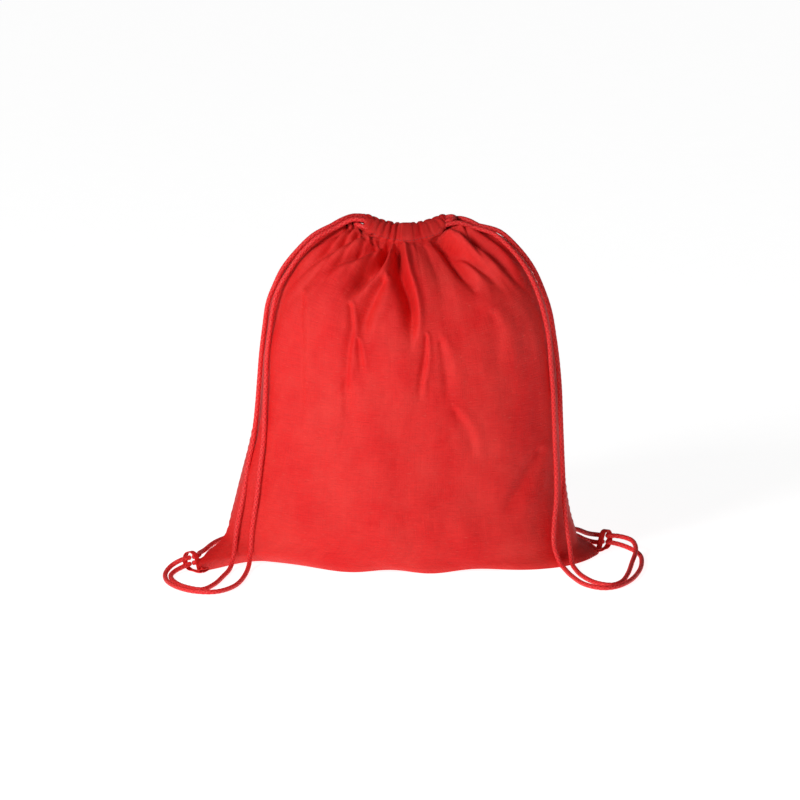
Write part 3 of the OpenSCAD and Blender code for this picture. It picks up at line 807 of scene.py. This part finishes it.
def stitch(ends, radius):
    """The points of a short rounded stitch between two points."""
    start, end = np.array(ends[0], float), np.array(ends[1], float)
    t = np.linspace(0, 1, STITCH_ROWS)
    line = start + (end - start) * t[:, None]
    side = unit(np.cross(end - start, (0.3, 0.2, 1.0)))
    up = unit(np.cross(side, end - start))
    swell = radius * np.sqrt(np.clip(1 - (2 * t - 1) ** 4, 0.05, 1))
    a = np.arange(STITCH_SIDES) * 2 * math.pi / STITCH_SIDES
    points = line[:, None] + swell[:, None, None] * (
        np.cos(a)[:, None] * side + np.sin(a)[:, None] * up)
    return points.reshape(-1, 3)


def stitches(name, pairs, radius, node):
    """Stitches, each between its own two points, as one piece that replaces a CAD node."""
    points, faces = [stitch(pair, radius) for pair in pairs], []
    for k in range(len(pairs)):
        first, end = k * len(points[0]), (k + 1) * len(points[0])
        faces += [tuple(f[::-1]) for f in grid_faces(STITCH_ROWS, STITCH_SIDES, closed=True,
                                                     first=first)]
        faces.append(tuple(range(first, first + STITCH_SIDES)))
        faces.append(tuple(range(end - 1, end - STITCH_SIDES - 1, -1)))
    piece = mesh(name, np.concatenate(points), faces, THREAD)
    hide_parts(node)
    return piece


def on_hem(x, face):
    """A point of the hem's outside, on its stitch line."""
    u = np.array([x / HEM_HALF_WIDTH])
    point, base = hem_section(u, 150)[0], hem_section(u, 180)[0]
    out = unit(np.cross((1.0, 0, 0), base - point))
    out = out if out[1] < 0 else -out
    point = point + out * (max(float(hem_pleats(np.array(x / 1.5), face)), -0.7) + 0.1)
    return (point[0], point[1] * face, point[2] - sag(x, face))


def dress(nodes, material):
    """Give CAD nodes that show as they are their material."""
    for node in nodes:
        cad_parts[node].data.materials.clear()
        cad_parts[node].data.materials.append(material)


STITCH_PITCH = 2.9
STITCH_LENGTH = 2.1
for hem, face in (("front", 1), ("back", -1)):
    pairs = [(on_hem(a, face), on_hem(a + STITCH_LENGTH, face))
             for a in np.arange(-34, 32, STITCH_PITCH)]
    row = stitches(f"{hem}_hem_thread", pairs, 0.34, f"{hem}_hem_stitches")
    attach(row, f"{hem}_mouth")
dress(("left_side_seam", "right_side_seam", "bottom_seam"), TAPE)
for side_name, sign in (("left", -1), ("right", 1)):
    zigzag = [(sign * (51.5 + 0.42 * k), 2.4 * (-1) ** k, 305.9 - 0.05 * k) for k in range(13)]
    bar = stitches(f"{side_name}_slit_bar", list(zip(zigzag, zigzag[1:])), 0.3,
                   f"{side_name}_slit_bartack")
    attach(bar, "root")
dress(("left_loop_tack", "right_loop_tack"), THREAD)


# ---------------------------------------------------------------- stage
FLOOR_HALF = 16000
FLOOR_Z = -0.2
FLOOR_GLOW = 0.91
WORLD_LIGHT = 0.11
WHITE = (1, 1, 1, 1)


def area_light(name, place, target, size, power):
    """A round lamp that shines from place to target."""
    data = bpy.data.lights.new(name, "AREA")
    data.shape = "DISK"
    data.size = size
    data.energy = power
    lamp = bpy.data.objects.new(name, data)
    scene.collection.objects.link(lamp)
    lamp.location = place
    lamp.rotation_euler = (Vector(target) - Vector(place)).to_track_quat("-Z", "Y").to_euler()


def add_floor():
    """A pale floor that glows a little, so that it stays nearly white beside the bag."""
    n = Nodes("pale_floor")
    grain = n.noise(n.add("ShaderNodeTexCoord", out=3), 40.0)
    color = n.mix(n.ramp(grain, 0.3, 0.7), (0.42, 0.42, 0.42, 1), (0.45, 0.45, 0.45, 1))
    n.finish(color, grain, 0.00005, n.ramp(grain, 0, 1, 0.9, 0.95), 0, WHITE, 0.1)
    n.shader.inputs["Emission Color"].default_value = WHITE
    n.shader.inputs["Emission Strength"].default_value = FLOOR_GLOW
    corners = [(FLOOR_HALF * x, FLOOR_HALF * y, FLOOR_Z)
               for x, y in ((-1, -1), (1, -1), (1, 1), (-1, 1))]
    mesh("floor", corners, [(0, 1, 2, 3)], n.material)


add_floor()
world = bpy.data.worlds.new("studio")
scene.world = world
world.use_nodes = True
world.node_tree.nodes["Background"].inputs["Color"].default_value = WHITE
world.node_tree.nodes["Background"].inputs["Strength"].default_value = WORLD_LIGHT
area_light("key", (-1.2, -1.5, 1.1), (-0.02, 0, 0.16), 0.7, 30.5)
scene.view_settings.view_transform = "Standard"
